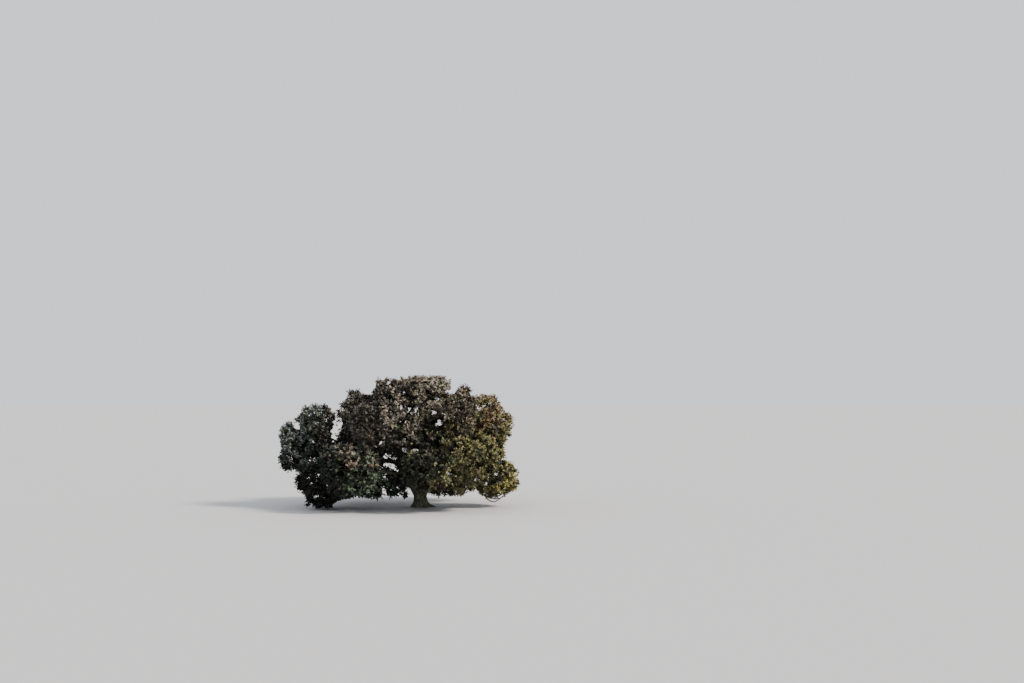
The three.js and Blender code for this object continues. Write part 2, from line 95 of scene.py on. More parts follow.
# Boughs, one to each mass: what it grows from, where on it, its bends, and its radii at root and tip.
# "at" is a height on the trunk, or a share of the length of another bough.
boughs = {
    "left_low": ("trunk", 1.5, [(-1.7, -0.1, 2.75), (-3.7, -0.35, 3.3)], (0.25, 0.09)),
    "left_top": ("trunk", 1.75, [(-2.0, 0.25, 3.85), (-3.6, 0.3, 4.25), (-5.7, 0.2, 4.9)], (0.24, 0.085)),
    "crown_top": ("trunk", 1.8, [(-1.5, 0.15, 4.1), (-2.05, 0.2, 6.3), (-1.3, 0.1, 8.2)], (0.3, 0.095)),
    "right_shoulder": ("trunk", 1.8, [(0.45, 0.2, 3.9), (1.3, 0.25, 5.7)], (0.29, 0.09)),
    "right_low": ("trunk", 1.4, [(1.5, -0.05, 1.85), (3.3, -0.05, 1.75)], (0.23, 0.085)),
    "front_centre": ("trunk", 1.75, [(-0.05, -1.25, 3.0)], (0.23, 0.09)),
    "front_left": ("front_centre", 0.42, [(-1.3, -2.9, 3.2), (-3.2, -4.6, 3.4)], (0.15, 0.07)),
    "back_top": ("trunk", 1.75, [(0.1, 1.2, 3.7), (0.5, 2.5, 5.6)], (0.26, 0.09)),
    "back_low_left": ("trunk", 1.6, [(-1.0, 1.9, 2.6), (-2.9, 4.3, 2.95)], (0.22, 0.08)),
    "inner_left_low": ("left_low", 0.16, [], (0.11, 0.055)),
    "far_left": ("left_top", 0.72, [(-8.8, 1.7, 4.75)], (0.11, 0.06)),
    "crown_left": ("left_top", 0.5, [], (0.14, 0.065)),
    "left_middle": ("left_top", 0.33, [], (0.12, 0.06)),
    "back_left": ("back_low_left", 0.55, [(-4.6, 3.9, 3.5)], (0.15, 0.07)),
    "left_inner": ("left_low", 0.45, [], (0.11, 0.055)),
    "crown_upper_left": ("crown_top", 0.42, [], (0.15, 0.07)),
    "crown_middle": ("crown_top", 0.55, [], (0.1, 0.06)),
    "front_top_left": ("crown_top", 0.36, [(-2.35, -1.3, 5.95)], (0.15, 0.07)),
    "back_top_left": ("crown_top", 0.42, [(-2.5, 1.5, 6.25)], (0.15, 0.07)),
    "crown_knob": ("right_shoulder", 0.72, [(2.3, 1.4, 7.5), (3.2, 1.55, 8.7)], (0.095, 0.05)),
    "right_top": ("right_shoulder", 0.55, [(2.5, 0.65, 6.3)], (0.17, 0.075)),
    "right_core": ("right_shoulder", 0.45, [], (0.11, 0.06)),
    "right_middle": ("right_shoulder", 0.3, [(2.0, -0.05, 4.45)], (0.15, 0.07)),
    "front_top_right": ("front_centre", 0.62, [(0.8, -2.1, 5.3)], (0.14, 0.065)),
    "back_right": ("right_shoulder", 0.36, [(2.2, 1.8, 5.1)], (0.16, 0.075)),
    "front_right": ("right_shoulder", 0.2, [(1.35, -1.25, 4.25)], (0.15, 0.07)),
    "right_inner": ("right_low", 0.35, [], (0.11, 0.055)),
    "front_low": ("front_centre", 0.5, [(0.15, -3.0, 2.95)], (0.14, 0.07)),
    "back_low": ("back_top", 0.22, [(1.1, 2.9, 3.4)], (0.16, 0.075)),
}

# Where the photograph was taken from, as seen from the trunk's foot
eye = {"distance": 110.0, "height": 9.7}

# Gaps with sky behind them, as they stand over the trunk's foot: centre x and z, half width and height
skyGaps = np.array([
    (-7.53, 7.42, 0.56, 0.76), (-7.82, 6.6, 0.42, 0.8), (-11.1, 7.3, 0.3, 0.4),
    (-13.15, 5.4, 0.72, 0.9), (-13.0, 3.65, 0.45, 0.45), (-11.5, 8.9, 0.8, 0.8),
    (-7.4, 10.1, 0.8, 0.7), (-4.9, 11.1, 0.8, 1.0), (-2.05, 12.3, 0.45, 0.5),
    (3.05, 11.1, 0.42, 0.9), (2.6, 10.45, 0.48, 0.28), (8.2, 9.6, 1.0, 1.3),
    (8.35, 5.6, 0.6, 0.8), (9.0, 3.9, 0.6, 0.5), (-11.5, 0.6, 1.25, 1.1),
    (-6.4, 0.25, 1.45, 0.62), (-11.8, 4.45, 0.34, 0.38), (-5.4, 5.0, 0.36, 0.52),
    (-3.5, 5.65, 0.52, 0.4), (-2.95, 4.5, 0.5, 0.5), (-3.0, 3.7, 0.65, 0.3),
    (-3.3, 2.85, 0.42, 0.28), (-1.78, 9.0, 0.25, 0.42), (-1.15, 8.8, 0.32, 0.48),
    (-0.5, 8.8, 0.3, 0.52), (-1.72, 7.7, 0.43, 0.37), (-0.9, 9.95, 0.38, 0.33),
    (-1.6, 10.3, 0.3, 0.28), (0.1, 9.25, 0.35, 0.25), (1.15, 8.55, 0.42, 0.36),
    (1.78, 7.64, 0.42, 0.4), (1.48, 9.82, 0.35, 0.3), (4.88, 6.25, 0.42, 0.34),
    (2.7, 2.92, 0.42, 0.38), (5.1, 2.5, 0.48, 0.36),
])

goldenAngle = math.pi * (3 - math.sqrt(5))
upward = np.array((0.0, 0.0, 1.0))
tiny = 1e-9

# What a mass keeps to. Shares are of its reach, other sizes in metres.
space = {
    "blockiness": 2.5,
    "edgeShare": 1.07,  # how far out its tips may go
    "farShare": 1.15,  # a neighbour further off than this takes no room
    "entryShare": 0.88,  # where a bough's tip enters it
    "ground": 0.15,  # nothing hangs lower
    "clearBelow": 0.35,  # of tufts from the ground
    "clearAbove": 0.33,  # and from the very top
    "limbMargin": 0.03,
    "limbPieces": 14,
    "axisPoints": 81,
}

# Seed of the random draws of the first mass, and the step to the next one's
seeds = {"first": 138, "step": 17}

# How tufts of leaves stand in a mass
tuftLook = {
    "perSquare": 0.82,  # to each square metre of the mass's outside
    "inner": 0.3,  # and inside it, for each one outside
    "innerReach": 0.62,
    "fullness": (0.55, 1.35),  # at the middle of the crown, and at its rim where nothing stands behind
    "crownMiddle": (-1.5, 0.0, 4.5),
    "crownReach": (10.5, 7.0, 6.0),
    "denser": {
        "left_low": 1.6, "left_top": 1.1, "crown_top": 1.25,
        "crown_upper_left": 1.1, "right_inner": 1.25, "front_centre": 1.25,
    },
    "probe": (1.04, 0.3, -0.04),  # shares tried for room, from the outside in
    "slack": (-0.1, 0.15),  # how unevenly the rim of a gap is cut
    "inset": (0.3, 0.5),  # from where the room ends
    "rimShare": 0.96,  # room that ends further in than this has a neighbour or a gap outside it
    "innerInset": 0.25,  # share of the inset that is used there
    "nearest": 0.15,  # to the mass's middle, as a share of the way out
    "airDistance": 1.2,  # a tuft is buried if no open air is this near
    "airDirections": 16,
    "buriedKept": 0.8,  # share kept where a tuft is buried
    "depth": 0.35,  # leaves face away from this far inside the tuft
}

# The wood that carries them. Forward is the share of its length for which a limb keeps its parent's heading.
stemLook = {"points": 12, "sides": 8, "endRadius": 0.035, "beyond": 0.25}
branchLook = {
    "points": 8,
    "sides": 5,
    "radii": (0.034, 0.012),
    "tufts": 6,  # to each branch
    "fewest": 4,
    "rootsBelow": (3, 5),  # points down the stem from the place nearest its tufts
    "reach": 0.78,  # of the way to the middle of its tufts
    "forward": 0.3,
    "rise": 0.08,
}
branchletLook = {"points": 5, "sides": 3, "radii": (0.013, 0.006), "forward": 0.4, "sway": 0.06}
twigLook = {
    "perTuft": 12,
    "perBuried": 6,  # a buried tuft has fewer, with its large dark shade leaves only
    "roots": (0.72, 1.0),  # where they leave the branchlet
    "doming": 0.55,  # how far they turn outwards
    "lift": 0.25,
    "unevenness": 1.0,
    "swing": 40 * goldenAngle,  # how far the tufts are turned, from a mass's first to its last
    "waver": 0.2,
    "tuftSizes": (0.75, 1.25),
    "lengths": (0.36, 0.62),
    "slack": (-0.15, 0.15),
    "shortened": 0.6,  # a twig that would leave its mass is cut to this
    "lap": 0.3,  # how far it may reach in among a neighbour's, as a share of its reach
    "boxMargin": 0.1,  # of tips from the outermost edges of the solids
    "radius": 0.005,
    "sides": 3,
}

# Leaves, larger than life
leafLook = {
    "perTwig": 9,
    "shade": 3,  # of them, nearest the twig's foot, are larger, as shade leaves are, and darker, as painted shade
    "shadeSize": 1.9,
    "shadeLitShare": 0.1,
    "lengths": (0.135, 0.175),
    "places": (0.15, 1.0),  # along the twig
    "placeWaver": 0.03,
    "turnWaver": 0.3,
    "leans": (1.15, 0.45),  # away from the twig, at its foot and at its end, in radians
    "leanWaver": 0.2,
    "outward": 0.9,  # how much they face away from the tuft
    "skyward": 0.4,  # and up
    "tumble": 0.3,  # and at random
    "margin": 0.02,  # from the outermost edges of the solids
    "width": 0.6,  # of its length
    "fold": 0.16,  # how far its sides rise from the midrib, of its width
    "droop": 0.12,  # how far its tip bends down, of its length
    "shoulders": (0.3, 0.7),  # where its two pairs of side corners are
    "shoulderDroop": 0.4,  # of its tip's droop, at the outer pair
    "narrowing": 0.86,
    "litSpread": 0.06,  # how loosely a spray keeps to its level of painted light
    "strayHues": 0.3,  # share of twigs with another hue than their tuft's
    "sunward": (0.45, -0.2, 0.87),  # leaves get paler tones on this side, as painted light, and darker ones away from it, as painted shade
    "litShare": (0.5, 0.3, 0.2),  # share of painted light in the middle, and more by side of the tuft and of the mass
}

# Bare twigs that hang clear of a mass: start, control and end of each curve
bareTwigs = {
    "right_low": [
        ((5.75, -0.6, 1.15), (6.5, -0.6, -0.2), (7.6, -0.6, 1.15)),
        ((5.8, -0.8, 1.2), (6.4, -0.8, 0.4), (7.2, -0.8, 1.15)),
        ((6.0, -0.3, 1.25), (6.8, -0.3, 0.15), (7.95, -0.3, 1.25)),
        ((5.9, -1.0, 1.3), (6.6, -1.0, 0.65), (7.5, -1.0, 1.25)),
    ],
}
bareTwig = {
    "points": 12, "sides": 4, "radii": (0.065, 0.03),
    "sideTwigs": 6, "sideLengths": (0.15, 0.4), "sideRadius": 0.01,
}

# Thin leafy twigs that reach into a gap, given in the same way
sprigs = {
    "left_top": [
        ((-8.4, 0.3, 8.0), (-7.9, 0.3, 8.35), (-7.45, 0.4, 7.95)),
        ((-8.3, 0.2, 7.6), (-7.8, 0.1, 7.85), (-7.4, 0.0, 7.4)),
        ((-8.3, 0.4, 7.0), (-7.9, 0.4, 7.4), (-7.65, 0.5, 7.7)),
        ((-8.3, 0.1, 6.5), (-8.0, 0.0, 6.75), (-7.8, -0.1, 6.6)),
    ],
    "crown_left": [
        ((-7.0, -0.1, 8.0), (-7.4, 0.0, 7.8), (-7.7, 0.1, 8.05)),
        ((-6.9, 0.1, 7.3), (-7.3, 0.1, 7.0), (-7.6, 0.2, 7.2)),
        ((-7.1, -0.2, 6.8), (-7.3, -0.2, 6.4), (-7.6, -0.2, 6.4)),
    ],
}
sprig = {"points": 5, "sideTwigs": 5, "sideLengths": (0.12, 0.3)}
sideTwig = {"places": (0.2, 0.9), "spread": (1.0, 0.6, 1.0), "hang": 0.2}


def unit(vectors):
    return vectors / np.maximum(np.linalg.norm(vectors, axis=-1, keepdims=True), tiny)


def evenSteps(line, count):
    # The same line with its points evenly spaced
    lengths = np.concatenate([[0], np.cumsum(np.linalg.norm(np.diff(line, axis=0), axis=1))])
    steps = np.linspace(0, lengths[-1], count)
    return np.stack([np.interp(steps, lengths, line[:, i]) for i in range(3)], axis=1)


def smoothLine(points, count, perSpan=40):
    # A smooth curve through the points, the one that the solids follow (centripetal Catmull-Rom)
    points = np.array(points, float)
    run = np.vstack([2 * points[0] - points[1], points, 2 * points[-1] - points[-2]])
    t = np.linspace(0, 1, perSpan, endpoint=False)[:, None]
    spans = []
    for a, b, c, d in zip(run, run[1:], run[2:], run[3:]):
        before, own, after = [math.sqrt(np.linalg.norm(q - p)) for p, q in ((a, b), (b, c), (c, d))]
        leave = own * ((b - a) / before - (c - a) / (before + own) + (c - b) / own)
        arrive = own * ((c - b) / own - (d - b) / (own + after) + (d - c) / after)
        cubic = 2 * b - 2 * c + leave + arrive
        square = 3 * c - 3 * b - 2 * leave - arrive
        spans.append(b + leave * t + square * t ** 2 + cubic * t ** 3)
    return evenSteps(np.vstack([*spans, points[-1:]]), count)


def blockyLength(offsets):
    return (np.abs(offsets) ** space["blockiness"]).sum(-1) ** (1 / space["blockiness"])


def sharesOf(places):
    # How far places are from each mass's middle, where 1 is the edge of its reach
    return blockyLength((places[..., None, :] - centres) / reaches)


def placesAt(index, directions, shares):
    return centres[index] + directions * reaches[index] * (shares / blockyLength(directions))[..., None]


def inSkyGap(places, slack=0.0):
    toFoot = eye["distance"] / (eye["distance"] + places[..., 1])
    x = places[..., 0] * toFoot
    z = eye["height"] + (places[..., 2] - eye["height"]) * toFoot
    across = (x[..., None] - skyGaps[:, 0]) / skyGaps[:, 2]
    up = (z[..., None] - skyGaps[:, 1]) / skyGaps[:, 3]
    return (np.hypot(across, up).min(-1) < 1 - slack)


def isOpenTo(index, places, slack=0.0, lap=0.0):
    # A mass keeps to the places that are nearer to it than to any other mass, and out of the gaps.
    # Its twigs lap over those of its neighbours a little.
    shares = sharesOf(places)
    own = shares[..., index]
    others = np.delete(shares, index, axis=-1)
    nearest = np.where(others > space["farShare"], np.inf, others).min(-1) + lap
    inBox = ((places > boxLow) & (places < boxHigh)).all(-1)
    isFree = inBox & (own < space["edgeShare"]) & (own < nearest) & (places[..., 2] > space["ground"])
    return isFree & ~inSkyGap(places, slack)


def smoothStep(t):
    t = np.clip(t, 0, 1)
    return t * t * (3 - 2 * t)


def trunkAxis(height):
    lean = smoothStep(height / trunk["forkHeight"])
    return np.stack([trunk["forkCentre"][0] * lean, trunk["forkCentre"][1] * lean, height], -1)


trunk = {
    "top": 2.25,
    "forkHeight": 1.85,
    "waistHeight": 0.85,
    "waistRadius": 0.535,
    "footRadius": 0.72,
    "footHeight": 0.33,
    "forkRadius": 0.9,
    "forkCentre": (-0.07, 0.0),
    "rootHeight": 0.24,
    "fluteDepth": 0.034,
    "topShrink": 0.45,
    "sides": 96,
    "rings": 30,
    "voxel": 0.034,
    "smoothing": (0.6, 7),  # strength and rounds
    "axisPoints": 12,
    "stubLength": 1.5,  # how much of a bough is worked in one with the trunk
    "stubMost": 0.6,  # and of its whole length at most
    "stubRings": 24,
    "stubBevel": 8,
    "stubFineSteps": 240,
    "stubRadii": (1.08, 0.86),  # of the bough's own, at its root and where the stub ends
    "stubAxis": (20, 8),  # steps along a bough, and those that its furrows follow on the trunk
    "stubReach": 1.15,  # of a bough's radius, where its furrows give way to others
    "seamHeight": 2.0,  # below it the trunk's furrows take over
    "seamSlope": 0.5,
    "seam": 0.05,  # how softly
    "roots": [(0.1, 0.72, 0.42), (1.15, 0.42, 0.36), (2.15, 0.33, 0.4), (3.2, 0.26, 0.36),
              (4.15, 0.42, 0.4), (5.2, 0.48, 0.36)],    # angle, reach, width
    "furrowFoot": 0.3,  # how much of a furrow's depth is left at the ground
    "furrows": [(4.62, 0.07, 0.16), (5.35, 0.04, 0.14), (3.7, 0.04, 0.16), (1.6, 0.05, 0.2)],
}


def makeAxes():
    # The middle line of each bough, from its parent to the edge of its mass
    axes = {}
    for name, (parent, at, bends, radii) in boughs.items():
        if parent == "trunk":
            start = trunkAxis(np.array(at))
        else:
            line = axes[parent]["line"]
            position = at * (len(line) - 1)
            low = int(position)
            start = line[low] + (line[low + 1] - line[low]) * (position - low)
        index = massNames.index(name)
        last = np.array(bends[-1]) if bends else start
        share = sharesOf(last)[index]
        end = centres[index] + (last - centres[index]) * space["entryShare"] / share
        axes[name] = {"line": smoothLine([start, *bends, end], space["axisPoints"]), "radii": radii}
    return axes


axes = makeAxes()
limbLines = np.concatenate([
    np.stack([steps[:-1], steps[1:]], axis=1)
    for steps in (evenSteps(axis["line"], space["limbPieces"] + 1) for axis in axes.values())
])
limbRadii = np.concatenate([
    np.linspace(*axis["radii"], space["limbPieces"], endpoint=False) for axis in axes.values()
]) + space["limbMargin"]


def clearOfLimbs(places):
    # Nothing grows through a bough
    a, b = limbLines[:, 0], limbLines[:, 1]
    run = b - a
    offset = places[..., None, :] - a
    t = np.clip((offset * run).sum(-1) / (run * run).sum(-1), 0, 1)
    away = np.linalg.norm(offset - t[..., None] * run, axis=-1)
    return (away > limbRadii).all(-1)


def meshObject(name, corners, faceSets, tints, materials):
    # One mesh from arrays of corners and of faces with like numbers of sides
    mesh = bpy.data.meshes.new(name)
    loops = np.concatenate([faces.ravel() for faces in faceSets])
    totals = np.concatenate([np.full(len(faces), faces.shape[1]) for faces in faceSets])
    starts = np.concatenate([[0], np.cumsum(totals)[:-1]])
    mesh.vertices.add(len(corners))
    mesh.vertices.foreach_set("co", corners.astype(np.float32).ravel())
    mesh.loops.add(len(loops))
    mesh.loops.foreach_set("vertex_index", loops.astype(np.int32))
    mesh.polygons.add(len(totals))
    mesh.polygons.foreach_set("loop_start", starts.astype(np.int32))
    mesh.polygons.foreach_set("material_index", tints.astype(np.int32))
    mesh.update(calc_edges=True)
    for material in materials:
        mesh.materials.append(material)
    piece = bpy.data.objects.new(name, mesh)
    bpy.context.scene.collection.objects.link(piece)
    return piece


def curvedLines(starts, controls, ends, count):
    # Many quadratic curves at once
    t = np.linspace(0, 1, count)[None, :, None]
    return (1 - t) ** 2 * starts[:, None] + 2 * t * (1 - t) * controls[:, None] + t ** 2 * ends[:, None]


def tubes(lines, radii, sides):
    # Limbs with a closed foot, drawn out to a point. Lines is limbs by points by xyz.
    count, points = lines.shape[:2]
    along = unit(np.gradient(lines, axis=1))
    start = along[:, :1]
    isUpright = np.abs(start[..., 2:]) > 0.9
    side = unit(np.cross(start, np.where(isUpright, (1.0, 0, 0), upward)))
    side = unit(side - (side * along).sum(-1, keepdims=True) * along)
    other = np.cross(along, side)
    turns = 2 * math.pi * np.arange(sides) / sides
    ring = np.cos(turns)[:, None] * side[:, :-1, None] + np.sin(turns)[:, None] * other[:, :-1, None]
    rings = lines[:, :-1, None] + ring * radii[:, :-1, None, None]
    corners = np.concatenate([rings.reshape(count, -1, 3), lines[:, -1:]], axis=1)
    perLimb = corners.shape[1]
    k = np.arange(sides)
    after = (k + 1) % sides
    levels = np.arange(points - 2)[:, None] * sides
    quads = np.stack([levels + k, levels + after, levels + sides + after, levels + sides + k], -1)
    last = (points - 2) * sides
    tip = np.stack([last + k, last + after, np.full(sides, perLimb - 1)], -1)
    offsets = (np.arange(count) * perLimb)[:, None, None]
    return (
        corners.reshape(-1, 3),
        (quads.reshape(1, -1, 4) + offsets).reshape(-1, 4),
        (tip[None] + offsets).reshape(-1, 3),
        (k[::-1][None, None] + offsets).reshape(-1, sides),
    )


def leafBlades(feet, along, facing, lengths):
    # Oval blades folded on the midrib, with the tip bent down: two faces of four sides each
    facing = unit(facing - (facing * along).sum(-1, keepdims=True) * along)
    side = np.cross(along, facing)
    half = (lengths * leafLook["width"] / 2)[:, None]
    long = lengths[:, None]
    rise = facing * half * 2 * leafLook["fold"]
    droop = facing * long * leafLook["droop"]
    nearShoulder, farShoulder = leafLook["shoulders"]
    low = feet + along * long * nearShoulder
    high = feet + along * long * farShoulder - droop * leafLook["shoulderDroop"]
    tip = feet + along * long - droop
    wide, narrow = side * half, side * half * leafLook["narrowing"]
    rim = [feet, low - wide + rise, high - narrow + rise, tip, high + narrow + rise, low + wide + rise]
    corners = np.stack(rim, axis=1)
    base = (np.arange(len(feet)) * len(rim))[:, None]
    left = base + np.array([0, 3, 2, 1])
    right = base + np.array([0, 5, 4, 3])
    return corners.reshape(-1, 3), np.stack([left, right], axis=1).reshape(-1, 4)


def nearAir(places):
    # Whether open air lies near a place, in any of a few directions
    around = places[:, None] + airDirections * tuftLook["airDistance"]
    return ((sharesOf(around).min(-1) > 1) | inSkyGap(around)).any(1)


def spiral(count, random, unevenness=0.5):
    # Directions spread nearly evenly over a ball
    k = np.arange(count)
    rise = 1 - (2 * k + 1) / count
    turn = k * goldenAngle + random.uniform(0, 2 * math.pi)
    flat = np.sqrt(1 - rise ** 2)
    even = np.stack([flat * np.cos(turn), flat * np.sin(turn), rise], -1)
    return unit(even + random.normal(0, unevenness, (count, 3)) / math.sqrt(count))


airDirections = spiral(tuftLook["airDirections"], np.random.default_rng(seeds["first"]))


def openLimits(index, directions, slack):
    # The outermost open place in each direction, as a share of the reach
    shares = np.arange(*tuftLook["probe"])
    places = placesAt(index, directions[:, None], np.broadcast_to(shares, (len(directions), len(shares))))
    isOpen = isOpenTo(index, places, slack[:, None])
    return np.where(isOpen.any(1), shares[isOpen.argmax(1)], 0)


def placeTufts(index, random):
    # The middles of the tufts of leaves: a shell of them, and some further in
    middle = centres[index]
    fromMiddle = np.linalg.norm((middle - tuftLook["crownMiddle"]) / np.array(tuftLook["crownReach"]))
    fullness = np.interp(fromMiddle, (0, 1), tuftLook["fullness"])
    fullness *= tuftLook["denser"].get(massNames[index], 1)
    outside = 4 * math.pi * reaches[index].mean() ** 2
    outerCount = int(outside * tuftLook["perSquare"] * fullness)
    innerCount = int(outerCount * tuftLook["inner"])
    lowest, highest = cadLow[2] + space["clearBelow"], cadHigh[2] - space["clearAbove"]
    found = []
    for count, inward in ((outerCount, 1.0), (innerCount, tuftLook["innerReach"])):
        directions = spiral(count, random)
        limits = openLimits(index, directions, random.uniform(*tuftLook["slack"], count))
        edge = placesAt(index, directions, limits)
        inset = random.uniform(*tuftLook["inset"], count)
        inset[limits <= tuftLook["rimShare"]] *= tuftLook["innerInset"]
        span = np.linalg.norm(edge - middle, axis=-1)
        share = np.clip(inward - inset / np.maximum(span, tiny), tuftLook["nearest"], 1)
        tufts = middle + (edge - middle) * share[:, None]
        tufts[:, 2] = np.clip(tufts[:, 2], lowest, highest)
        buried = ~nearAir(tufts)
        kept = (limits > 0) & (~buried | (random.uniform(size=count) < tuftLook["buriedKept"]))
        found.append(np.column_stack([tufts, buried])[kept])
    tufts, buried = np.split(np.concatenate(found), [3], axis=1)
    isClear = clearOfLimbs(tufts)
    return tufts[isClear], buried[isClear, 0] > 0


def growWood(index, name, random):
    # The stem carries on from its bough's tip, and branches and branchlets run out to the tufts
    middle = centres[index]
    line, radius = axes[name]["line"], axes[name]["radii"][1]
    tip, heading = line[-1], unit(line[-1] - line[-2])
    end = middle + (middle - tip) * stemLook["beyond"]
    stem = smoothLine([tip - heading * radius, tip + heading * radius, middle, end], stemLook["points"])
    tufts, buried = placeTufts(index, random)
    branchCount = max(branchLook["fewest"], len(tufts) // branchLook["tufts"])
    belongs = (unit(tufts - middle) @ spiral(branchCount, random).T).argmax(1)
    branches, branchlets, dim = [], [], []
    for branchNumber in range(branchCount):
        own = tufts[belongs == branchNumber]
        if not len(own):
            continue
        dim.extend(buried[belongs == branchNumber])
        goal = own.mean(0)
        near = np.linalg.norm(stem - goal, axis=-1).argmin()
        foot = max(1, int(near - random.integers(*branchLook["rootsBelow"])))
        root, forward = stem[foot], unit(stem[foot] - stem[foot - 1])
        reach = np.linalg.norm(goal - root)
        finish = root + (goal - root) * branchLook["reach"]
        control = root + forward * reach * branchLook["forward"] + upward * reach * branchLook["rise"]
        branch = curvedLines(root[None], control[None], finish[None], branchLook["points"])[0]
        branches.append(branch)
        for tuft in own:
            away = np.linalg.norm(branch - tuft, axis=-1)
            joint = int(np.clip(away.argmin() - 1, 2, branchLook["points"] - 2))
            start, onward = branch[joint], unit(branch[joint] - branch[joint - 1])
            span = np.linalg.norm(tuft - start)
            sway = random.normal(0, branchletLook["sway"], 3) * span
            bent = start + onward * span * branchletLook["forward"] + sway
            branchlets.append(curvedLines(start[None], bent[None], tuft[None], branchletLook["points"])[0])
    return stem, radius, np.array(branches), np.array(branchlets), np.array(dim)


def growTwigs(index, branchlets, buried, random):
    # Short twigs spread from the end of each branchlet, so that a tuft is a dome
    perTuft, tuftCount = twigLook["perTuft"], len(branchlets)
    count = tuftCount * perTuft
    owner = np.repeat(np.arange(tuftCount), perTuft)
    last = branchletLook["points"] - 1
    share = random.uniform(*twigLook["roots"], count) * last
    low = np.minimum(share.astype(int), last - 1)
    before, after = branchlets[owner, low], branchlets[owner, low + 1]
    roots = before + (after - before) * (share - low)[:, None]
    outward = unit(branchlets[:, -1] - centres[index]) + upward * twigLook["lift"]
    turned = np.tile(spiral(perTuft, random, twigLook["unevenness"]), (tuftCount, 1))
    swing = np.linspace(0, twigLook["swing"], tuftCount)[owner]
    turned[:, :2] = np.stack([
        turned[:, 0] * np.cos(swing) - turned[:, 1] * np.sin(swing),
        turned[:, 0] * np.sin(swing) + turned[:, 1] * np.cos(swing),
    ], -1)
    waver = random.normal(0, twigLook["waver"], (count, 3))
    along = unit(outward[owner] * twigLook["doming"] + turned + waver)
    sizes = random.uniform(*twigLook["tuftSizes"], tuftCount)
    lengths = random.uniform(*twigLook["lengths"], count) * sizes[owner]
    inner, outer = boxLow + twigLook["boxMargin"], boxHigh - twigLook["boxMargin"]
    tips = np.clip(roots + along * lengths[:, None], inner, outer)
    slack = random.uniform(*twigLook["slack"], count)
    shorter = roots + (tips - roots) * twigLook["shortened"]
    lap = twigLook["lap"]
    tips = np.where(isOpenTo(index, tips, slack, lap)[:, None], tips, shorter)
    kept = isOpenTo(index, tips, slack, lap) & clearOfLimbs(tips) & clearOfLimbs((roots + tips) / 2)
    kept &= ~buried[owner] | (np.arange(count) % perTuft < twigLook["perBuried"])
    return roots[kept], tips[kept], owner[kept]


def sideTwigs(mains, look, random):
    # Short straight twigs along curved ones, and which of those each grows on
    first, last = np.array(sideTwig["places"]) * (look["points"] - 1)
    joints = np.linspace(first, last, look["sideTwigs"]).astype(int)
    feet = mains[:, joints].reshape(-1, 3)
    spread = random.normal(0, 1, feet.shape) * sideTwig["spread"]
    along = unit(spread - upward * sideTwig["hang"])
    ends = feet + along * random.uniform(*look["sideLengths"], (len(feet), 1))
    ends[:, 2] = np.maximum(ends[:, 2], space["clearBelow"])
    return feet, ends, np.repeat(np.arange(len(mains)), len(joints))


def curvesFrom(table, count):
    return curvedLines(*np.array(table).swapaxes(0, 1), count)


def radiiFor(limbs, radii):
    # Even taper along each of many limbs
    return np.linspace(*radii, limbs.shape[1])[None].repeat(len(limbs), 0)


def growBareTwigs(name, random):
    mains = curvesFrom(bareTwigs[name], bareTwig["points"])
    feet, ends, owner = sideTwigs(mains, bareTwig, random)
    sideRadii = np.full((len(feet), 2), bareTwig["sideRadius"])
    return (
        tubes(mains, radiiFor(mains, bareTwig["radii"]), bareTwig["sides"]),
        tubes(np.stack([feet, ends], axis=1), sideRadii, twigLook["sides"]),
    )


def growLeaves(roots, tips, tufts, buried, sparse, random):
    # Leaves stand round each twig in a spiral, closer to its end, with their upper sides turned out
    perTwig, twigTotal = leafLook["perTwig"], len(roots)
    count = twigTotal * perTwig

    def toLeaves(values):
        return np.repeat(values, perTwig, 0)

    def wavering(values, waver):
        return np.tile(values, twigTotal) + random.uniform(-waver, waver, count)

    along = unit(tips - roots)
    side = unit(np.cross(along, unit(random.normal(0, 1, along.shape))))
    other = np.cross(along, side)
    share = wavering(np.linspace(*leafLook["places"], perTwig), leafLook["placeWaver"])
    turn = wavering(np.arange(perTwig) * goldenAngle, leafLook["turnWaver"])
    lean = wavering(np.linspace(*leafLook["leans"], perTwig), leafLook["leanWaver"])
    feet = toLeaves(roots) + toLeaves(tips - roots) * share[:, None]
    away = toLeaves(side) * np.cos(turn)[:, None] + toLeaves(other) * np.sin(turn)[:, None]
    pointing = unit(toLeaves(along) * np.cos(lean)[:, None] + away * np.sin(lean)[:, None])
    outward = unit(feet - toLeaves(tufts)) * leafLook["outward"]
    facing = outward + upward * leafLook["skyward"] + random.normal(0, leafLook["tumble"], (count, 3))
    shaded = np.tile(np.arange(perTwig) < leafLook["shade"], twigTotal)
    lengths = random.uniform(*leafLook["lengths"], count) * np.where(shaded, leafLook["shadeSize"], 1)
    ends = feet + pointing * lengths[:, None]
    margin = leafLook["margin"]
    kept = ((ends > boxLow + margin) & (ends < boxHigh - margin)).all(-1)
    kept &= shaded | ~toLeaves(buried)
    kept &= ~shaded | ~toLeaves(sparse)
    spray = toLeaves(np.arange(twigTotal))
    return feet[kept], pointing[kept], facing[kept], lengths[kept], spray[kept], shaded[kept]


# Colours are sRGB, as a paint shop gives them
def linear(colour):
    values = [int(colour[i:i + 2], 16) / 255 for i in (1, 3, 5)]
    return tuple(v / 12.92 if v <= 0.04045 else ((v + 0.055) / 1.055) ** 2.4 for v in values) + (1.0,)


def addNode(tree, kind, settings={}, inputs={}):
    # Adds a node, sets it up, and links those inputs that are given as another node's socket
    node = tree.nodes.new(kind)
    for key, value in settings.items():
        setattr(node, key, value)
    for key, value in inputs.items():
        if isinstance(value, bpy.types.NodeSocket):
            tree.links.new(value, node.inputs[key])
        else:
            node.inputs[key].default_value = value
    return node


def noiseNode(tree, places, size, detail, roughness):
    inputs = {"Vector": places, "Scale": 1 / size, "Detail": detail, "Roughness": roughness}
    return addNode(tree, "ShaderNodeTexNoise", {}, inputs).outputs["Fac"]


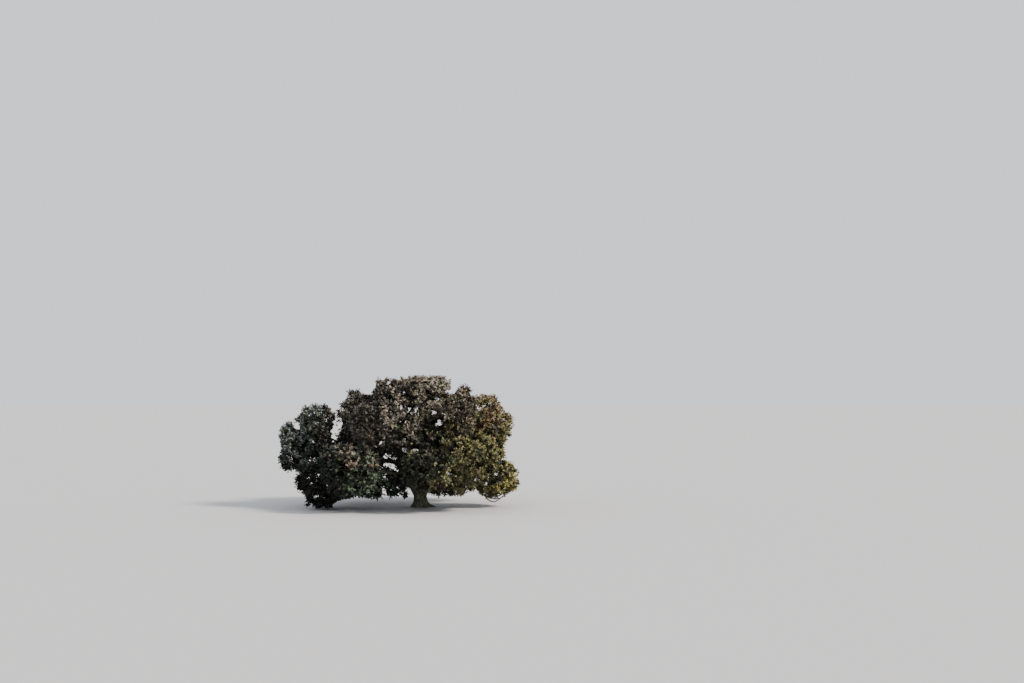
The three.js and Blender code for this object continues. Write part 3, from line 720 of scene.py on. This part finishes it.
def mixNode(tree, factor, first, second):
    inputs = {"Factor": factor, "A": first, "B": second}
    return addNode(tree, "ShaderNodeMix", {"data_type": "RGBA"}, inputs).outputs["Result"]


def newMaterial(name):
    material = bpy.data.materials.new(name)
    material.use_nodes = True
    tree = material.node_tree
    tree.nodes.clear()
    return material, tree


def finishMaterial(tree, inputs):
    shader = addNode(tree, "ShaderNodeBsdfPrincipled", {}, inputs)
    addNode(tree, "ShaderNodeOutputMaterial", {}, {"Surface": shader.outputs["BSDF"]})


# Leaf tones, each a plain colour. A tuft takes its hue by chance, likelier near the hue's home, which is
# a place over the trunk's foot (x, z) in metres, and over the spread round it. A few of its twigs take
# another. The homes follow where the crown is lit and where it is in shade, so some hues are painted
# light and some painted shade, as each row says. The tone levels run from painted shade on the leaves
# inside and under a tuft to painted light on the pale ones on top.
# Each row is home, spread, amount and the colours by light level.
lightLevels = ("in_shade", "half_lit", "in_light")
leafTones = {
    # painted shade on the low left mass, which lies in shadow
    "deep": ((-8.2, 2.7), 2.3, 5.0, ("#151913", "#1d231b", "#2d3429")),
    # a grey green, and painted light that lifts the shaded lower left middle
    "sage": ((-4.1, 2.8), 1.4, 5.0, ("#3a4435", "#5d6f5a", "#808f79")),
    # painted shade in the middle of the crown
    "shade": ((-0.1, 5.5), 1.7, 7.0, ("#1c1f17", "#25281f", "#33362b")),
    "green": ((-1.0, 5.0), 6.0, 0.6, ("#2e3427", "#4a523e", "#6a725a")),
    "grey": ((-11.6, 6.4), 2.1, 2.2, ("#3a403d", "#585f5c", "#828a87")),
    "olive": ((-4.4, 8.5), 3.0, 3.5, ("#312d28", "#4a463f", "#6b665d")),
    "dusk": ((-3.9, 9.1), 1.2, 7.0, ("#282522", "#3b3732", "#534e48")),
    # a brown tint, and painted light on the lit top
    "brown": ((0.6, 11.0), 2.3, 4.0, ("#61554a", "#82766a", "#a69a8e")),
    # painted light on the shaded part under the top
    "pale": ((0.2, 9.4), 1.3, 6.0, ("#6b6658", "#928c7b", "#b4ae9c")),
    "umber": ((2.7, 8.8), 1.1, 14.0, ("#28241d", "#3c372e", "#565044")),
    # an orange tint, and painted warm sunlight on the upper right
    "copper": ((6.1, 8.9), 1.0, 2.5, ("#564733", "#7a6549", "#a08967")),
    # a golden tint, and painted warm sunlight on the right side
    "gold": ((6.4, 4.8), 3.0, 2.6, ("#47442b", "#686442", "#8d885a")),
    # painted light in a shaded recess right of the crown's middle
    "light": ((3.0, 5.8), 1.2, 3.0, ("#504c36", "#787351", "#98926a")),
    # a yellow tint, and a painted highlight on the lower right edge
    "straw": ((7.4, 1.9), 1.4, 3.0, ("#605a31", "#928a50", "#b7af6a")),
    "moss": ((2.9, 2.7), 1.2, 5.0, ("#54533a", "#7e7c57", "#a29f73")),
    "ash": ((-3.9, 5.9), 1.4, 5.0, ("#4a4841", "#6d6a60", "#918d82")),
    "tan": ((-5.7, 5.0), 0.9, 2.5, ("#483e33", "#6b5d4c", "#928371")),
    # painted shade in the hollow under the right side
    "recess_shade": ((6.6, 3.2), 0.6, 10.0, ("#15150f", "#25251b", "#3d3d2d")),
    # painted shade in a dark gap low in the middle, reddish dark
    "reddish_gap_shade": ((1.6, 1.9), 0.6, 6.0, ("#1f1311", "#33201a", "#4f3328")),
}


def leafMaterial(name, colour):
    # Live oak leaves are leathery, with a dull waxy shine on top
    material, tree = newMaterial(name)
    finishMaterial(tree, {
        "Base Color": linear(colour), "Roughness": 0.5, "IOR": 1.45, "Specular IOR Level": 0.3})
    return material


def twigMaterial(name, colour):
    # Young oak bark is smooth and matt
    material, tree = newMaterial(name)
    finishMaterial(tree, {"Base Color": linear(colour), "Roughness": 0.85})
    return material


barkLook = {
    "ridge": "#5e614b",
    "ridgeLight": "#7b7e66",
    "boughShadedRidge": "#36322a",   # painted shade: the boughs are darker, as they lie in shade under the crown
    "boughShadedRidgeLight": "#4c473a",
    # the furrows' dark is partly the bark's own and partly painted shade in them
    "furrow": "#1c1b15",
    "lichen": "#6a735a",
    "grain": 0.012,  # size of the fine grain, in metres
    "patch": 0.35,  # size of the patches of lichen
    "grainHeight": 0.004,
}


def barkMaterial(name, ridgeColour, ridgeLight):
    # Old oak bark: grey brown ridges over dark furrows, partly their own colour and partly painted shade,
    # dry and rough, with thin lichen in patches
    material, tree = newMaterial(name)
    places = addNode(tree, "ShaderNodeTexCoord").outputs["Object"]
    furrow = addNode(tree, "ShaderNodeAttribute", {"attribute_name": "furrow"}).outputs["Fac"]
    grain = noiseNode(tree, places, barkLook["grain"], detail=6.0, roughness=0.65)
    patch = noiseNode(tree, places, barkLook["patch"], detail=5.0, roughness=0.6)
    ridge = mixNode(tree, grain, linear(ridgeColour), linear(ridgeLight))
    ramp = addNode(tree, "ShaderNodeMapRange", {}, {
        "Value": patch, "From Min": 0.52, "From Max": 0.66, "To Max": 0.6})
    lichened = mixNode(tree, ramp.outputs["Result"], ridge, linear(barkLook["lichen"]))
    colour = mixNode(tree, furrow, lichened, linear(barkLook["furrow"]))
    bump = addNode(tree, "ShaderNodeBump", {}, {
        "Height": grain, "Distance": barkLook["grainHeight"], "Strength": 0.8})
    finishMaterial(tree, {
        "Base Color": colour, "Roughness": 0.92, "Normal": bump.outputs["Normal"]})
    return material


leafMaterials = [
    leafMaterial("leaf_" + name + "_" + litLevel, colour)
    for name, tone in leafTones.items() for litLevel, colour in zip(lightLevels, tone[-1])
]
twigMaterials = [twigMaterial("twig_grey_brown", "#4a4238"), twigMaterial("twig_young", "#544a2e")]
trunkBark = barkMaterial("oak_bark_trunk", barkLook["ridge"], barkLook["ridgeLight"])
# The boughs take the trunk's bark made darker, as painted shade
shadedBoughBark = barkMaterial("oak_bark_boughs_painted_shade", barkLook["boughShadedRidge"], barkLook["boughShadedRidgeLight"])
print("materials made")


def huesAt(places, random):
    # Which hue is dealt to each place; some hues are painted light and some painted shade
    homes, spreads, amounts = map(np.array, list(zip(*leafTones.values()))[:3])
    away = np.linalg.norm(places[:, None, [0, 2]] - homes, axis=-1) / spreads
    sums = np.cumsum(amounts * np.exp(-0.5 * away ** 2), axis=1)
    return (random.uniform(size=(len(places), 1)) > sums / sums[:, -1:]).sum(1)


# The tone level of each spray, from painted shade to painted light
def lightLevelsAt(litShare, random):
    litLevel = (litShare + random.normal(0, leafLook["litSpread"], len(litShare))) * len(lightLevels)
    return np.clip(litLevel.astype(int), 0, len(lightLevels) - 1)


def dress(piece, nodes):
    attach(piece, "root")
    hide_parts(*nodes)


# Bark relief, in metres where it is a size
relief = {
    "furrowSpacing": 0.07,  # across the limb
    "stretch": 0.22,  # furrows are this much denser across than along
    "furrowDepth": 0.022,
    "furrowWidth": 0.3,
    "furrowEdge": 0.7,  # lower is steeper
    "detail": 0.35,  # of the finer furrows
    "detailScale": 2.3,
    "level": 0.35,  # share of the depth that stands out, the rest is sunk
    "lump": 0.5,
    "lumpHeight": 0.02,
    "stubShift": (7.0, 3.0),  # places in the noise, step and start, for the boughs on the trunk
    "boughShift": 5.0,  # and further out
}
boughLook = {
    "ringSpacing": 0.07,
    "start": 0.02,  # share of its length where it leaves its parent's middle
    "fineSteps": 800,
    "collar": (0.35, 0.16),  # how much thicker it is at its root, and up to which share
    "sway": 0.35,  # of its root radius
    "swayPerMetre": 0.9,
    "swayRows": (0, 5, 9),
    "swayEnds": (6, 8),  # how fast the sway comes and goes at its two ends
    "swell": 0.1,
    "swellPerMetre": 1.7,
    "swellRow": 40,  # of the noise
    "thick": 0.19,  # radius from which it gets the finer of two bevels
    "bevels": (5, 8),
    "fullRelief": 0.25,  # radius at which its furrows are deepest
    "reliefShare": 0.8,  # of the trunk's furrow depth
    "axisSteps": 40,
}
askew = np.array((0.31, -0.62, 0.72))  # along none of the limbs


def straightened(points, line):
    # Places round a limb, as if it stood straight: across, across, along, and the distance from its middle
    a, run = line[:-1], np.diff(line, axis=0)
    lengths = np.linalg.norm(run, axis=1)
    starts = np.concatenate([[0], np.cumsum(lengths)[:-1]])
    offset = points[:, None] - a
    t = np.clip((offset * run).sum(-1) / (lengths ** 2), 0, 1)
    away = offset - t[..., None] * run
    distance = np.linalg.norm(away, axis=-1)
    best = distance.argmin(1)
    rows = np.arange(len(points))
    along = run[best] / lengths[best][:, None]
    side = unit(np.cross(along, askew))
    other = np.cross(along, side)
    spot = away[rows, best]
    height = starts[best] + t[rows, best] * lengths[best]
    flat = np.stack([(spot * side).sum(-1), (spot * other).sum(-1), height], -1)
    return flat, distance[rows, best]


def furrowsAt(flat, shift):
    # 1 in the furrows and 0 on the ridges between them
    scale = np.array([1.0, 1.0, relief["stretch"]]) / (relief["furrowSpacing"] * 2)
    places = list(map(Vector, flat * scale + shift))
    coarse = np.array([noise.noise(place) for place in places])
    fine = np.array([noise.noise(place * relief["detailScale"]) for place in places])
    depth = 1 - np.abs(coarse + relief["detail"] * fine) / relief["furrowWidth"]
    return np.clip(depth, 0, 1) ** relief["furrowEdge"]


def lumpsAt(points):
    return np.array([noise.noise(Vector(point) / relief["lump"]) for point in points])


def pointValues(piece, key):
    values = np.zeros(len(piece.data.vertices) * 3, np.float32)
    piece.data.vertices.foreach_get(key, values)
    return values.reshape(-1, 3).astype(float)


def carve(piece, furrows, depth):
    # Lifts the ridges and sinks the furrows, and keeps the furrows for the colour
    points = pointValues(piece, "co")
    rise = (relief["level"] - furrows) * depth + lumpsAt(points) * relief["lumpHeight"]
    points += pointValues(piece, "normal") * rise[:, None]
    points[:, 2] = np.maximum(points[:, 2], 0)
    piece.data.vertices.foreach_set("co", points.astype(np.float32).ravel())
    attribute = piece.data.attributes.new("furrow", "FLOAT", "POINT")
    attribute.data.foreach_set("value", furrows.astype(np.float32))
    piece.data.update()


def activate(piece):
    bpy.ops.object.select_all(action="DESELECT")
    piece.select_set(True)
    bpy.context.view_layer.objects.active = piece


def tubeAlong(name, line, radii, resolution):
    # A path with a round bevel, turned to a mesh
    bpy.ops.curve.primitive_nurbs_path_add()
    path = bpy.context.object
    path.name = name
    curve = path.data
    curve.splines.clear()
    spline = curve.splines.new("POLY")
    spline.points.add(len(line) - 1)
    for point, place, radius in zip(spline.points, line, radii):
        point.co = (*place, 1)
        point.radius = radius
    curve.dimensions = "3D"
    curve.twist_mode = "MINIMUM"
    curve.bevel_depth = 1
    curve.bevel_resolution = resolution
    curve.use_fill_caps = True
    bpy.ops.object.convert(target="MESH")
    tube = bpy.context.object
    tube.data.name = name
    tube.data.materials.clear()
    return tube


def finelyAlong(line, shares, fineSteps):
    return evenSteps(line, fineSteps + 1)[np.round(shares * fineSteps).astype(int)]


def limbRadius(shares, radii):
    swelling, upTo = boughLook["collar"]
    collar = 1 + swelling * np.maximum(0, 1 - shares / upTo) ** 2
    return (radii[0] + (radii[1] - radii[0]) * shares) * collar


def lengthOf(line):
    return np.linalg.norm(np.diff(line, axis=0), axis=1).sum()


def lobeAt(angle, at, width):
    # How strong a root or furrow is at an angle round the trunk
    turn = math.atan2(math.sin(angle - at), math.cos(angle - at))
    return math.exp(-((turn / width) ** 2))


def trunkRadius(height, angle):
    foot = math.exp(-height / trunk["footHeight"])
    fork = smoothStep((height - trunk["waistHeight"]) / (trunk["forkHeight"] - trunk["waistHeight"]))
    waist = trunk["waistRadius"] + (trunk["footRadius"] - trunk["waistRadius"]) * foot
    lobe = 0
    for at, reach, width in trunk["roots"]:
        depth = reach * math.exp(-height / trunk["rootHeight"]) + trunk["fluteDepth"] * (1 - fork)
        lobe = max(lobe, depth * lobeAt(angle, at, width))
    for at, depth, width in trunk["furrows"]:
        lobe -= depth * lobeAt(angle, at, width) * min(1, trunk["furrowFoot"] + height)
    return waist + (trunk["forkRadius"] - waist) * fork + lobe


def raiseTrunk():
    # A disc drawn up ring by ring, its rings shaped to the taper, root lobes and fork
    bpy.ops.mesh.primitive_circle_add(vertices=trunk["sides"], radius=1, fill_type="NGON")
    piece = bpy.context.object
    piece.name = "bark_trunk"
    bpy.ops.object.mode_set(mode="EDIT")
    bpy.ops.mesh.select_all(action="SELECT")
    step = trunk["top"] / trunk["rings"]
    for ring in range(trunk["rings"]):
        bpy.ops.mesh.extrude_region_move(TRANSFORM_OT_translate={"value": (0, 0, step)})
    bpy.ops.mesh.select_all(action="SELECT")
    bpy.ops.mesh.normals_make_consistent(inside=False)
    bpy.ops.object.mode_set(mode="OBJECT")
    for vertex in piece.data.vertices:
        height = vertex.co.z
        angle = math.atan2(vertex.co.y, vertex.co.x)
        shoulder = max(0, height - trunk["forkHeight"]) / (trunk["top"] - trunk["forkHeight"])
        radius = trunkRadius(height, angle) * (1 - trunk["topShrink"] * shoulder ** 2)
        middle = trunkAxis(np.array(height))
        vertex.co = (middle[0] + math.cos(angle) * radius, middle[1] + math.sin(angle) * radius, height)
    return piece


def makeStub(name, radii):
    # The first stretch of a bough
    line = axes[name]["line"]
    stubShare = min(trunk["stubMost"], trunk["stubLength"] / lengthOf(line))
    shares = np.linspace(0, stubShare, trunk["stubRings"])
    inward = np.linspace(*trunk["stubRadii"], trunk["stubRings"])
    stubLine = finelyAlong(line, shares, trunk["stubFineSteps"])
    return tubeAlong("stub_" + name, stubLine, limbRadius(shares, radii) * inward, trunk["stubBevel"])


def trunkFurrows(points, trunkBoughs):
    # The trunk's own furrows, and near each bough that bough's
    flat, distance = straightened(points, trunkAxis(np.linspace(0, trunk["top"], trunk["axisPoints"])))
    weights = [np.exp(-np.maximum(0, distance - trunk["waistRadius"]) / trunk["seam"])]
    furrows = [furrowsAt(flat, 0.0)]
    steps, used = trunk["stubAxis"]
    below = np.maximum(0, trunk["seamHeight"] - points[:, 2]) * trunk["seamSlope"]
    shiftStep, shiftStart = relief["stubShift"]
    for number, name, radii in trunkBoughs:
        flat, distance = straightened(points, evenSteps(axes[name]["line"], steps + 1)[:used + 1])
        away = np.maximum(0, distance - radii[0] * trunk["stubReach"]) + below
        weights.append(np.exp(-away / trunk["seam"]))
        furrows.append(furrowsAt(flat, shiftStep * number + shiftStart))
    weights = np.array(weights) + tiny
    return (np.array(furrows) * weights).sum(0) / weights.sum(0)


def makeTrunk():
    # The trunk, with the first stretch of each bough that leaves it worked in one with it
    trunkBoughs = [
        (number, name, radii) for number, (name, (parent, at, bends, radii)) in enumerate(boughs.items())
        if parent == "trunk"
    ]
    piece = raiseTrunk()
    stubs = [makeStub(name, radii) for number, name, radii in trunkBoughs]
    activate(piece)
    for stub in stubs:
        stub.select_set(True)
    bpy.ops.object.join()
    piece.data.remesh_voxel_size = trunk["voxel"]
    bpy.ops.object.voxel_remesh()
    smooth = piece.modifiers.new("smooth", "SMOOTH")
    smooth.factor, smooth.iterations = trunk["smoothing"]
    bpy.ops.object.modifier_apply(modifier="smooth")
    carve(piece, trunkFurrows(pointValues(piece, "co"), trunkBoughs), relief["furrowDepth"])
    return piece


def makeBough(number, name):
    # One tapering limb with a slightly uneven line, knots and furrowed bark
    line, radii = axes[name]["line"], axes[name]["radii"]
    length = lengthOf(line)
    shares = np.linspace(boughLook["start"], 1, int(length / boughLook["ringSpacing"]))
    steps = finelyAlong(line, shares, boughLook["fineSteps"])

    def noiseAlong(perMetre, row):
        return np.array([noise.noise(Vector((share * length * perMetre, number, row))) for share in shares])

    coming, going = boughLook["swayEnds"]
    fade = np.minimum(1, shares * coming) * np.minimum(1, (1 - shares) * going)
    sway = np.stack([noiseAlong(boughLook["swayPerMetre"], row) for row in boughLook["swayRows"]], axis=1)
    steps = steps + sway * fade[:, None] * radii[0] * boughLook["sway"]
    swell = 1 + boughLook["swell"] * noiseAlong(boughLook["swellPerMetre"], boughLook["swellRow"])
    bevel = boughLook["bevels"][int(radii[0] > boughLook["thick"])]
    piece = tubeAlong("bark_bough_" + name, steps, limbRadius(shares, radii) * swell, bevel)
    flat, distance = straightened(pointValues(piece, "co"), evenSteps(steps, boughLook["axisSteps"] + 1))
    depth = relief["furrowDepth"] * min(1, radii[0] / boughLook["fullRelief"]) * boughLook["reliefShare"]
    carve(piece, furrowsAt(flat, relief["boughShift"] * number), depth)
    return piece


trunkPiece = makeTrunk()
dress(trunkPiece, ["trunk"])
barkPieces = [trunkPiece]
for number, name in enumerate(boughs):
    piece = makeBough(number, name)
    dress(piece, ["bough_" + name])
    barkPieces.append(piece)
for piece in barkPieces:
    piece.data.materials.clear()
    piece.data.materials.append(trunkBark if piece == trunkPiece else shadedBoughBark)
    activate(piece)
    bpy.ops.object.shade_smooth()
bpy.ops.object.select_all(action="DESELECT")
print("bark made,", len(barkPieces), "pieces")


def toneLeaves(index, branchlets, middles, tips, owner, random):
    # The numbers of the materials of each twig's leaves: the small ones, and the shade leaves at its foot
    # Sprays on the sunward side of their tuft and mass get paler tones, as painted light, and those away
    # from it darker ones, as painted shade
    sunward = unit(np.array(leafLook["sunward"]))
    inTuft = unit(tips - middles[owner]) @ sunward
    inMass = unit(tips - centres[index]) @ sunward
    base, byTuft, byMass = leafLook["litShare"]
    litShare = base + byTuft * inTuft + byMass * inMass
    hues = huesAt(branchlets[:, -1], random)[owner]
    strays = random.uniform(size=len(hues)) < leafLook["strayHues"]
    hues[strays] = huesAt(tips[strays], random)
    small = hues * len(lightLevels) + lightLevelsAt(litShare, random)
    shade = hues * len(lightLevels) + lightLevelsAt(np.full(len(hues), leafLook["shadeLitShare"]), random)
    return small, shade


def joinedTubes(name, made, twigNumber):
    # One mesh of many kinds of limbs, where the twigs have the young bark
    corners, faceSets, tints, offset = [], [], [], 0
    for number, (points, *sets) in enumerate(made):
        corners.append(points)
        for faces in sets:
            if len(faces):
                faceSets.append(faces + offset)
                tints.append(np.full(len(faces), int(number == twigNumber)))
        offset += len(points)
    return meshObject(name, np.concatenate(corners), faceSets, np.concatenate(tints), twigMaterials)


def makeFoliage(index, name):
    random = np.random.default_rng(seeds["first"] + seeds["step"] * index)
    stem, radius, branches, branchlets, buried = growWood(index, name, random)
    roots, tips, owner = growTwigs(index, branchlets, buried, random)
    ownTufts = len(branchlets)
    if name in sprigs:
        mains = curvesFrom(sprigs[name], sprig["points"])
        feet, ends, mainOf = sideTwigs(mains, sprig, random)
        roots, tips = np.concatenate([roots, feet]), np.concatenate([tips, ends])
        owner = np.concatenate([owner, ownTufts + mainOf])
        branchlets = np.concatenate([branchlets, mains])
        buried = np.concatenate([buried, np.zeros(len(mains), bool)])
    middles = branchlets[:, -1] - unit(branchlets[:, -1] - centres[index]) * tuftLook["depth"]
    feet, pointing, facing, lengths, spray, shaded = growLeaves(
        roots, tips, middles[owner], buried[owner], owner >= ownTufts, random)
    small, shade = toneLeaves(index, branchlets, middles, tips, owner, random)
    corners, faces = leafBlades(feet, pointing, facing, lengths)
    tints = np.repeat(np.where(shaded, shade[spray], small[spray]), 2)
    leaves = meshObject("leaves_" + name, corners, [faces], tints, leafMaterials)
    stems, twigs = stem[None], np.stack([roots, tips], axis=1)
    made = [
        tubes(stems, radiiFor(stems, (radius, stemLook["endRadius"])), stemLook["sides"]),
        tubes(branches, radiiFor(branches, branchLook["radii"]), branchLook["sides"]),
        tubes(branchlets, radiiFor(branchlets, branchletLook["radii"]), branchletLook["sides"]),
        tubes(twigs, np.full((len(roots), 2), twigLook["radius"]), twigLook["sides"]),
    ]
    twigNumber = len(made) - 1
    if name in bareTwigs:
        made.extend(growBareTwigs(name, random))
    wood = joinedTubes("twigs_" + name, made, twigNumber)
    dress(leaves, ["foliage_" + name])
    dress(wood, ["foliage_" + name])
    return len(feet), len(roots)


leafCount = twigCount = 0
for index, name in enumerate(massNames):
    leaves, twigs = makeFoliage(index, name)
    leafCount += leaves
    twigCount += twigs
print("crown made,", leafCount, "leaves on", twigCount, "twigs")

# Floor, light and camera
studio = {
    "floor": "#bfbfc1",
    "air": "#e2e5ea",
    "airStrength": 1.35,
    "sunStrength": 5.2,
    "sunColour": "#fff4e6",
    "sunSoftness": 14,  # degrees across
    "sunTurn": 62,  # degrees to the right of straight behind the viewer
    "sunHeight": 38,  # degrees above the ground
    "sunDistance": 40,
    "floorSize": 4000,
    "farthest": 3000,  # that the camera sees
}

bpy.ops.mesh.primitive_plane_add(size=studio["floorSize"])
floor = bpy.context.object
floor.name = "floor"
floorMaterial, tree = newMaterial("matt_floor")
finishMaterial(tree, {"Base Color": linear(studio["floor"]), "Roughness": 0.9})
floor.data.materials.append(floorMaterial)

world = bpy.data.worlds.new("studio")
world.use_nodes = True
background = world.node_tree.nodes["Background"]
background.inputs["Color"].default_value = linear(studio["air"])
background.inputs["Strength"].default_value = studio["airStrength"]
bpy.context.scene.world = world

turn, height = math.radians(studio["sunTurn"]), math.radians(studio["sunHeight"])
toSun = Vector((math.sin(turn) * math.cos(height), -math.cos(turn) * math.cos(height), math.sin(height)))
turned = toSun.to_track_quat("Z", "Y").to_euler()
bpy.ops.object.light_add(type="SUN", location=toSun * studio["sunDistance"], rotation=turned)
sun = bpy.context.object.data
sun.energy = studio["sunStrength"]
sun.color = linear(studio["sunColour"])[:3]
sun.angle = math.radians(studio["sunSoftness"])

# The photograph's own framing: the trunk's foot and the horizon in its 1024 by 683 pixels
photo = {"width": 1024, "height": 683, "footX": 421, "horizonY": 400, "focal": 1200, "sensor": 36.0}
toRight = math.atan((photo["width"] / 2 - photo["footX"]) / photo["focal"])
toSky = math.atan((photo["horizonY"] - photo["height"] / 2) / photo["focal"])
bpy.ops.object.camera_add(
    location=(0, -eye["distance"], eye["height"]),
    rotation=(math.pi / 2 + toSky, 0, -toRight),
)
camera = bpy.context.object
camera.data.sensor_width = photo["sensor"]
camera.data.lens = photo["sensor"] * photo["focal"] / photo["width"]
camera.data.clip_end = studio["farthest"]
bpy.context.scene.camera = camera
print("studio made")
